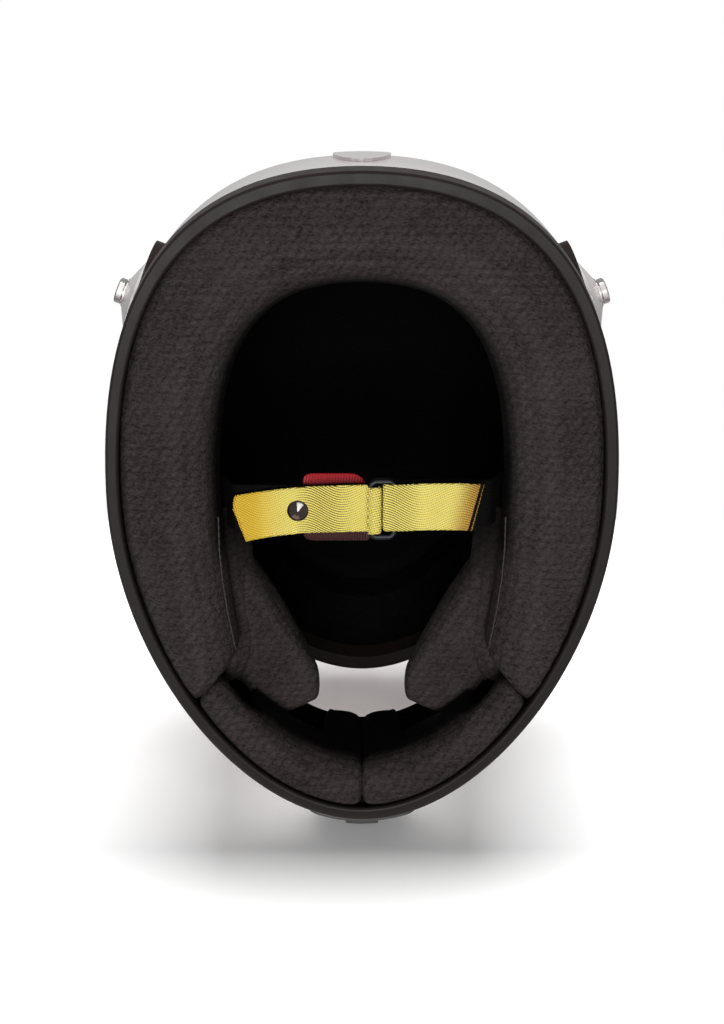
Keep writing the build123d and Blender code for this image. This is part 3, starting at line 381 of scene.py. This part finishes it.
def stuffed(name, node, finish, voxel, start_in, cap, pressure, held=None):
    """A cushion that swells from the CAD solid under its own filling."""
    piece = new_piece(name, nodes[node].data.copy(), finish)
    remesh = piece.modifiers.new("remesh", "REMESH")
    remesh.mode = "VOXEL"
    remesh.voxel_size = voxel
    soften = piece.modifiers.new("soften", "SMOOTH")
    soften.iterations = 3
    soften.factor = 0.5
    piece.data = worked(piece)
    rest = [vertex.co - vertex.normal * start_in for vertex in piece.data.vertices]
    for vertex, place in zip(piece.data.vertices, rest):
        vertex.co = place
    swell(piece, rest, cap, pressure, held)
    finer = piece.modifiers.new("finer", "SUBSURF")
    finer.levels = 1
    finer.render_levels = 1
    piece.data = worked(piece)
    for face in piece.data.polygons:
        face.use_smooth = True
    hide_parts(node)
    return piece


# Painted shade: the lining knit is painted near black, far darker than the knit of the cushions, and the
# knit's painted shade darkens it further with height.
shaded_lining_knit = knit_finish("shaded_lining_knit", (0.0002, 0.0002, 0.0002), (0.0008, 0.0007, 0.0007))
stuffed(
    "crown_lining",
    "crown_comfort_liner",
    shaded_lining_knit,
    voxel=0.005,
    start_in=0.0005,
    cap=0.0015,
    pressure=1.5,
)

# Neck roll: one long cushion that fills the opening from ear to ear behind the neck. It is glued to the foam
# and held by the lip of the base trim.
# Painted shade: the roll's knit darkens with height into the opening, but not near the rim of the opening or
# at the jaw.
black_knit = knit_finish(
    "black_knit", (0.013, 0.0105, 0.0105), (0.066, 0.052, 0.052), rim=(0.52, 0.72), jaw=True
)
glued_above_z = 0.04
roll_cushion = stuffed(
    "roll_cushion",
    "neck_roll",
    black_knit,
    voxel=0.0042,
    start_in=-0.0012,
    cap=0.0022,
    pressure=3.0,
    held=lambda place: place.z > glued_above_z,
)

# A thin cord is stitched along the front edges of the roll, a little in from its fold. Every third stitch
# draws it in.
thread = Finish("cord_thread")
cord_thread = thread.surface(
    thread.mix(thread.noise(900, 2), (0.030, 0.025, 0.025), (0.075, 0.064, 0.062)),
    thread.noise(400, 2) * 0.1 + 0.75,
    thread.noise(2600, 2),
    0.0002,
    Specular_IOR_Level=0.1,
)
cord_radius, drawn_radius, cord_step, cord_facets = 0.00055, 0.00028, 0.0012, 8
cord_path = [
    (0.0715, -0.002),
    (0.0712, -0.018),
    (0.0700, -0.034),
    (0.0680, -0.050),
    (0.0655, -0.064),
    (0.0640, -0.074),
    (0.0648, -0.083),
    (0.0690, -0.093),
    (0.0745, -0.102),
    (0.0790, -0.109),
]
seam = []
for (x1, y1), (x2, y2) in zip(cord_path, cord_path[1:]):
    count = max(2, int(Vector((x2 - x1, y2 - y1)).length / cord_step))
    seam += [(x1 + (x2 - x1) * k / count, y1 + (y2 - y1) * k / count) for k in range(count)]


def lofted(name, vertices, count, capped=True):
    """A mesh through rows of so many vertices each, with a cap at both ends unless capped is false."""
    faces = [
        (row + k, row + (k + 1) % count, row + count + (k + 1) % count, row + count + k)
        for row in range(0, len(vertices) - count, count)
        for k in range(count)
    ]
    if capped:
        faces.append(tuple(reversed(range(count))))
        faces.append(tuple(range(len(vertices) - count, len(vertices))))
    mesh = bpy.data.meshes.new(name)
    mesh.from_pydata(vertices, [], faces)
    return mesh


roll_cushion.data.update()
bpy.context.view_layer.update()
for side, sign in (("left", 1), ("right", -1)):
    tops = []
    for seam_x, seam_y in seam:
        found, hit, normal, _ = roll_cushion.ray_cast((seam_x * sign, seam_y, -0.05), (0, 0, 1))
        if found:
            tops.append((hit, normal))
    vertices = []
    for index, (hit, normal) in enumerate(tops):
        run = (tops[min(index + 1, len(tops) - 1)][0] - tops[max(index - 1, 0)][0]).normalized()
        across = run.cross(normal).normalized()
        radius = cord_radius if index % 3 else drawn_radius
        for facet in range(cord_facets):
            angle = 2 * pi * facet / cord_facets
            vertices.append(hit + normal * 0.0001 + (across * cos(angle) + normal * sin(angle)) * radius)
    cord = new_piece(
        f"roll_cord_{side}", lofted(f"roll_cord_{side}", vertices, cord_facets, capped=False), cord_thread
    )

# Cheek pads: deep foam cushions in the same knit that hold the jaw. They are snapped to plates on the foam of
# the chin bar, and their front tips frame the eye port.
# Painted shade: the cheek knit darkens towards the rear of the pads, keeping 15 percent of its colour at the
# darkest.
cheek_knit = knit_finish(
    "cheek_knit",
    (0.013, 0.0105, 0.0105),
    (0.060, 0.047, 0.047),
    axis=1,
    bright_at=-0.055,
    dark_at=-0.008,
    least=0.15,
)
for side in ("left", "right"):
    stuffed(
        f"cheek_cushion_{side}",
        f"cheek_pad_{side}",
        cheek_knit,
        voxel=0.004,
        start_in=0.0002,
        cap=0.0032,
        pressure=3.5,
    )

# The cover of each cheek pad runs on as a padded skirt, two layers of knit with thin foam between, that is
# tucked in behind the neck roll.
skirt_thick, skirt_width, skirt_rise, skirt_sag = 0.0018, 0.018, 0.017, 0.003
skirt_low_z, skirt_overlap, skirt_end_y = 0.036, 0.005, -0.098
for side, sign in (("left", 1), ("right", -1)):
    vertices = []
    for seam_x, seam_y in seam:
        if seam_y > skirt_end_y:
            near = [
                (
                    seam_x + skirt_overlap - skirt_width * share,
                    seam_y,
                    skirt_low_z + skirt_rise * share - skirt_sag * sin(pi * share),
                )
                for share in (0, 0.25, 0.5, 0.75, 1)
            ]
            ring = near + [(x, y, z + skirt_thick) for x, y, z in reversed(near)]
            vertices += [(x * sign, y, z) for x, y, z in ring]
    mesh = lofted(f"cheek_skirt_{side}", vertices, len(ring))
    if side == "left":
        mesh.flip_normals()
    # The skirt wears the cheek knit, with its painted shade towards the rear.
    skirt = new_piece(f"cheek_skirt_{side}", mesh, cheek_knit)

# Chin pads: two slim foam cushions in the same knit. They meet at the middle of the chin bar and are held by
# the lip of the base trim.
# Painted shade: the chin knit darkens with height into the chin bar, but not near the rim of the opening.
chin_knit = knit_finish("chin_knit", (0.011, 0.009, 0.009), (0.056, 0.044, 0.044), rim=(0.78, 0.90))
for side in ("left", "right"):
    stuffed(
        f"chin_cushion_{side}",
        f"chin_pad_{side}",
        chin_knit,
        voxel=0.003,
        start_in=-0.0008,
        cap=0.002,
        pressure=3.0,
    )

# The plates and plugs behind the cheek pads, the pivots of the shield, and the vent in the chin bar are
# black moulded plastic with a fine grain.
plastic = Finish("black_plastic")
pores = plastic.noise(2200, 2)
black_plastic = plastic.surface(
    plastic.mix(plastic.noise(50, 3), (0.012, 0.012, 0.012), (0.022, 0.021, 0.021)),
    plastic.noise(140, 2) * 0.2 + 0.35,
    pores,
    0.00003,
)
dress(
    black_plastic,
    "liner_snaps",
    "cheek_pad_plate_left",
    "cheek_pad_plate_right",
    "visor_pivot_plate_left",
    "visor_pivot_plate_right",
    "visor_bush_left",
    "visor_bush_right",
    "chin_vent_bezel",
    "chin_vent_shutter",
    "visor_tab",
    "tear_off_posts",
)

# The posts of the tether anchors are turned from steel and polished. Each is screwed through its boss into an
# insert in the shell.


def metal_finish(name, dark, bright, roughness, spread, towards, low, high):
    """Metal with a painted reflection: its colour runs from dark to bright where its normal looks one way,
    with fine turning marks.
    """
    metal = Finish(name)
    x, y, z = metal.parts(metal.place())
    lines = metal.noise(90, 2, metal.joined(x * 3, y * 3, z * 40))
    both_ways = {0: metal.node("TexCoord", out="Normal"), 1: towards}
    painted_reflection_facing = metal.node("VectorMath", {"operation": "DOT_PRODUCT"}, both_ways, "Value")
    return metal.surface(
        metal.mix(metal.ramp(painted_reflection_facing + lines * 0.04, low, high), dark, bright),
        lines * spread + roughness,
        lines,
        0.00001,
        Metallic=1.0,
    )


# Painted reflection: the posts are painted bright where their surface looks towards the nape and a little
# down, and dark elsewhere.
polished_steel = metal_finish(
    "polished_steel",
    dark=(0.12, 0.10, 0.10),
    bright=(0.62, 0.59, 0.58),
    roughness=0.1,
    spread=0.12,
    towards=(-0.3, 0.86, -0.42),
    low=-0.1,
    high=0.55,
)
dress(polished_steel, "anchor_post_left", "anchor_post_right")

# The two rings of the buckle are bent from steel rod and welded, and the strap is threaded through both.
# They are painted near black as shade, a little lighter on the side that looks down into the opening.
ring_steel = metal_finish(
    "ring_steel",
    dark=(0.006, 0.0065, 0.0075),
    bright=(0.028, 0.030, 0.034),
    roughness=0.45,
    spread=0.1,
    towards=(0, 0.4, -0.9),
    low=0.2,
    high=0.9,
)
dress(ring_steel, "d_ring_inner", "d_ring_outer")

# The snap that holds the tail of the strap is pressed from sheet metal: a domed cap over its socket on the
# tail, and a stud on the strap below. Its metal is painted dark as a dark reflection, with a small painted
# glint.
dark_glint_metal = metal_finish(
    "dark_glint_metal",
    dark=(0.035, 0.024, 0.024),
    bright=(0.98, 0.96, 0.95),
    roughness=0.07,
    spread=0.05,
    towards=(-0.24, 0.4, -0.885),
    low=0.94,
    high=0.985,
)
dress(dark_glint_metal, "snap_socket", "snap_stud")
cap_low, cap_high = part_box("snap_cap")
cap_middle = tuple((Vector(cap_low) + Vector(cap_high)) / 2)
# The cap's colour is painted: a white glint as a wedge on the nape side of the middle, and a warm reflection
# in a ring on the other side, on dark.
dome = Finish("dark_dome")
x, y, _ = dome.parts(
    dome.node("VectorMath", {"operation": "SUBTRACT"}, {0: dome.place(), 1: cap_middle}, "Vector")
)
reach = (x * x + y * y + 1e-9) ** 0.5
lean = (y * 0.95 - x * 0.31) / reach
painted_glint = dome.ramp(lean, 0.88, 0.97) * (1 - dome.ramp(reach, 0.0040, 0.0049))
warm_ring = dome.ramp(reach, 0.0012, 0.0030) * (1 - dome.ramp(reach, 0.0036, 0.0048))
warm = dome.ramp(lean * -1, 0.75, 0.95) * warm_ring
dark_dome = dome.surface(
    dome.mix(painted_glint, dome.mix(warm * 0.6, (0.030, 0.020, 0.020), (0.30, 0.21, 0.18)), (0.98, 0.96, 0.95)),
    dome.noise(300, 2) * 0.04 + 0.06,
    Metallic=0.4,
)
dress(dark_dome, "snap_cap")

# The threaded inserts, the hangers and rivets of the strap, and the screen of the vent are steel, pressed or
# turned and left plain. The slotted screws of the shield are aluminium.
# Painted reflection: this steel is painted lighter where its surface looks towards the nape and down into the
# opening.
plain_steel = metal_finish(
    "plain_steel",
    dark=(0.3, 0.3, 0.3),
    bright=(0.55, 0.55, 0.55),
    roughness=0.28,
    spread=0.2,
    towards=(0, 0.7, -0.7),
    low=-0.6,
    high=0.6,
)
dress(
    plain_steel,
    "anchor_insert_left",
    "anchor_insert_right",
    "visor_insert_left",
    "visor_insert_right",
    "strap_anchor_left",
    "strap_anchor_right",
    "strap_rivets",
    "chin_vent_screen",
)
# Painted reflection: the screws are painted lighter where their surface looks up and towards the nape.
dark_aluminium = metal_finish(
    "dark_aluminium",
    dark=(0.12, 0.12, 0.125),
    bright=(0.24, 0.24, 0.25),
    roughness=0.3,
    spread=0.15,
    towards=(0, 0.5, 0.86),
    low=-0.5,
    high=0.6,
)
dress(dark_aluminium, "visor_screw_left", "visor_screw_right")

# Chin strap: yellow twill webbing, riveted at both sides. The long side runs up through the two rings, folds
# back round one of them, and its tail lies on the strap under a snap.
strap_half, strap_thick = 0.012, 0.002
ring_low, ring_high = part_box("d_ring_inner")
strap_y = (ring_low[1] + ring_high[1]) / 2
lower_y = strap_y + 0.0016
short_end_x = -0.0577
twill_pitch, weft_pitch, weave_turn = 0.00125, 0.00105, 161
webbing = Finish("yellow_webbing")
x, y, z = webbing.parts(webbing.place())
wave = webbing.maths("SINE", x * weave_turn)
wave_slope = webbing.maths("COSINE", x * weave_turn)
drift = webbing.noise(40, 1)
ridge = webbing.maths("SINE", (y + wave * 0.0034 + drift * 0.0012) * (2 * pi / twill_pitch))
cross = webbing.maths("SINE", (x - y * 0.25) * (2 * pi / weft_pitch))
pale = webbing.ramp(x, 0.030, 0.040) * 0.5 + webbing.ramp(x, -0.012, -0.028) * 0.4
bold = webbing.node("Clamp", None, {"Value": 0.5 - wave_slope * 0.5 - pale})
groove = webbing.node("Clamp", None, {"Value": ridge * 1.9 + cross * 0.3 + bold * 1.2 - 1.35})
# Painted shade: the left end of the tail is painted orange where it curves away, the last 16 mm of the short
# side darken to brown towards its cut end, and a dark band a little in from that slanted end is painted as
# the shaded gap behind its fringe.
end_reach = x + (y - strap_y) * 0.25 - short_end_x
cut = webbing.ramp(end_reach, 0.0009, 0.0012) * (1 - webbing.ramp(end_reach, 0.0024, 0.0028))
shaded_left_end = webbing.ramp(x, 0.036, 0.056)
shaded_right_end = webbing.ramp(end_reach, 0.0165, 0.0028)
# Painted shade: the layers above the lowest, from about 28 mm up, are painted near black as the shade deep in
# the helmet.
painted_shade_upper = webbing.ramp(z, 0.0278, 0.0292)
yellow = webbing.mix(webbing.noise(60, 3), (0.92, 0.75, 0.16), (1.0, 0.89, 0.25))
yellow = webbing.mix(shaded_left_end * 0.8, yellow, (0.80, 0.47, 0.014))
yellow = webbing.mix(shaded_right_end * 0.75, yellow, (0.42, 0.15, 0.02))
yellow = webbing.mix(groove * (1 - shaded_left_end * 0.5), yellow, (0.10, 0.055, 0.008))
yellow = webbing.mix(cut, yellow, (0.003, 0.002, 0.002))
yellow_webbing = webbing.surface(
    webbing.mix(painted_shade_upper, yellow, (0.0012, 0.0011, 0.0010)),
    webbing.noise(300, 2) * 0.2 + 0.65,
    ridge * -0.5 + cross * 0.35,
    0.0003,
    Specular_IOR_Level=0.1,
)


def rounded(points, radii, step=0.003):
    """A line of (x, z) points through corners rounded by the radii."""
    line = [Vector(points[0])]
    for before, corner, after, radius in zip(points, points[1:], points[2:], radii):
        before, corner, after = Vector(before), Vector(corner), Vector(after)
        into = (corner - before).normalized()
        out = (after - corner).normalized()
        turn = into.angle_signed(out)
        reach = radius * abs(sin(turn / 2) / cos(turn / 2))
        square = Vector((-into.y, into.x)) * (-1 if turn > 0 else 1)
        middle = corner - into * reach + square * radius
        spoke = corner - into * reach - middle
        count = max(3, int(abs(turn) / 0.25))
        line += [middle + Matrix.Rotation(-turn * share / count, 2) @ spoke for share in range(count + 1)]
    line.append(Vector(points[-1]))
    dense = [line[0]]
    for first, second in zip(line, line[1:]):
        count = max(1, int((second - first).length / step))
        dense += [first.lerp(second, share / count) for share in range(1, count + 1)]
    return dense


def strap(name, line, body, bend=None, middle_y=strap_y):
    """Flat webbing with rounded selvedges along a line in the section through the strap."""
    upper_half = [
        (across * strap_half, lift * strap_thick)
        for across, lift in (
            (-1, 0.25),
            (-0.93, 0.42),
            (-0.8, 0.5),
            (-0.4, 0.5),
            (0, 0.5),
            (0.4, 0.5),
            (0.8, 0.5),
            (0.93, 0.42),
            (1, 0.25),
        )
    ]
    ring = upper_half + [(across, -lift) for across, lift in reversed(upper_half)]
    vertices = []
    for index, point in enumerate(line):
        run = (line[min(index + 1, len(line) - 1)] - line[max(index - 1, 0)]).normalized()
        square = Vector((-run.y, run.x))
        for across, lift in ring:
            place = point + square * lift
            spot = Vector((place.x, middle_y + across, place.y))
            vertices.append(bend(spot) if bend else spot)
    mesh = lofted(name, vertices, len(ring))
    mesh.validate()
    return new_piece(name, mesh, yellow_webbing, body)


hanger = [(0.118, 0.080), (0.118, 0.051), (0.071, 0.0482)]
long_line = rounded(
    hanger
    + [
        (0.064, 0.031),
        (0.025, 0.031),
        (0.008, 0.0346),
        (-0.0086, 0.0346),
        (-0.0088, 0.025),
        (-0.003, 0.025),
    ],
    (0.005, 0.005, 0.005, 0.005, 0.005, 0.0045, 0.0014),
)
long_strap = strap("long_strap", long_line, "root")
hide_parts("strap_long")


def tail_bend(spot):
    """The tail leans towards the chin and ends in a slanted folded edge."""
    spot = spot.copy()
    along = max(0.0, (spot.x + 0.009) / 0.07)
    across = (spot.y - lower_y) / strap_half
    slant_from, line_end, fold_at = 0.045, 0.063, 0.62
    if spot.x > slant_from:
        end = 0.0632 + (1 - across) * 0.004 if across > fold_at else 0.0652 - (fold_at - across) * 0.0043
        spot.x = slant_from + (spot.x - slant_from) * (end - slant_from) / (line_end - slant_from)
    spot.y -= 0.0055 * along**2.2
    return spot


tail_line = rounded(
    [(-0.003, 0.025), (0.013, 0.025), (0.025, 0.0265), (0.063, 0.0265)], (0.005, 0.005), step=0.002
)
tail_strap = strap("tail_strap", tail_line, None, tail_bend, lower_y)
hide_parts("strap_tail")
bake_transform(tail_strap)


def short_bend(spot):
    """The end of the short side is cut on a slant and bows a little."""
    spot = spot.copy()
    if spot.z < 0.029 and spot.x < -0.02:
        along = (-0.02 - spot.x) / 0.041
        across = (spot.y - lower_y) / strap_half
        spot.x -= across * 0.003 * along
        spot.z -= 0.0018 * sin(pi * along)
        spot.y += 0.0012 * sin(pi * along)
    return spot


short_line = rounded(
    [(-x, z) for x, z in hanger]
    + [(-0.064, 0.0346), (-0.0116, 0.0346), (-0.0112, 0.0252), (short_end_x, 0.025)],
    (0.005, 0.005, 0.005, 0.0045, 0.0014),
)
short_strap = strap("short_strap", short_line, "root", short_bend, lower_y)
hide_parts("strap_short")

# Release tab: a wide red tab of thin webbing with a soft rim, folded and sewn round the side of the upper
# ring. It is pulled to free the tail.
red = Finish("red_webbing")
x, y, _ = red.parts(red.place())
rib = red.maths("SINE", (x + y * 0.15) * (2 * pi / 0.0014))
unshaded_red = red.mix(red.noise(90, 3), (0.28, 0.004, 0.008), (0.42, 0.008, 0.016))
red_webbing = red.surface(
    # Painted shadow: the tab is painted dark red towards the chin, where the strap shades it.
    red.mix(red.ramp(y, -0.010, -0.014), unshaded_red, (0.035, 0.006, 0.006)),
    red.noise(300, 2) * 0.2 + 0.4,
    rib,
    0.00012,
    Specular_IOR_Level=0.4,
)
tab_low, tab_high = (Vector(corner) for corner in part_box("release_tab"))
tab_thick, tab_rim = 0.0016, 0.0004
tab_corners = [
    (Vector((tab_low.x, tab_low.y)), 0.002),
    (Vector((tab_high.x, tab_low.y)), 0.005),
    (Vector((tab_high.x, tab_high.y)), 0.005),
    (Vector((tab_low.x + 0.002, tab_high.y)), 0.009),
]
outline = []
for index, (corner, radius) in enumerate(tab_corners):
    start = corner + (tab_corners[index - 1][0] - corner).normalized() * radius
    end = corner + (tab_corners[(index + 1) % len(tab_corners)][0] - corner).normalized() * radius
    for step in range(7):
        share = step / 6
        outline.append(start.lerp(corner, share).lerp(corner.lerp(end, share), share))
tab_middle = sum(outline, Vector((0, 0))) / len(outline)
under_z = tab_high.z - tab_thick
levels = ((under_z, tab_rim), (under_z + tab_rim, 0), (tab_high.z - tab_rim, 0), (tab_high.z, tab_rim))
vertices = []
for level, inset in levels:
    for point in outline:
        out = point - tab_middle
        vertices.append((*(tab_middle + out * (1 - inset / out.length)), level))
tab_loop = new_piece("tab_loop", lofted("tab_loop", vertices, len(outline)), red_webbing, "tab")
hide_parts("release_tab")

# Shield: one clear sheet, a little smoky, moulded to the curve of the shell, that turns on the two pivots.
# Its rim is cut and polished.
clear_sheet = Finish("clear_shield")
haze = clear_sheet.noise(14, 3)
clear_shield = clear_sheet.surface(
    clear_sheet.mix(haze, (0.90, 0.82, 0.81), (0.96, 0.89, 0.88)),
    haze * 0.06 + 0.05,
    Alpha=clear_sheet.noise(22, 2) * 0.04 + 0.3,
    Coat_Weight=0.3,
)
dress(clear_shield, "visor_shield")
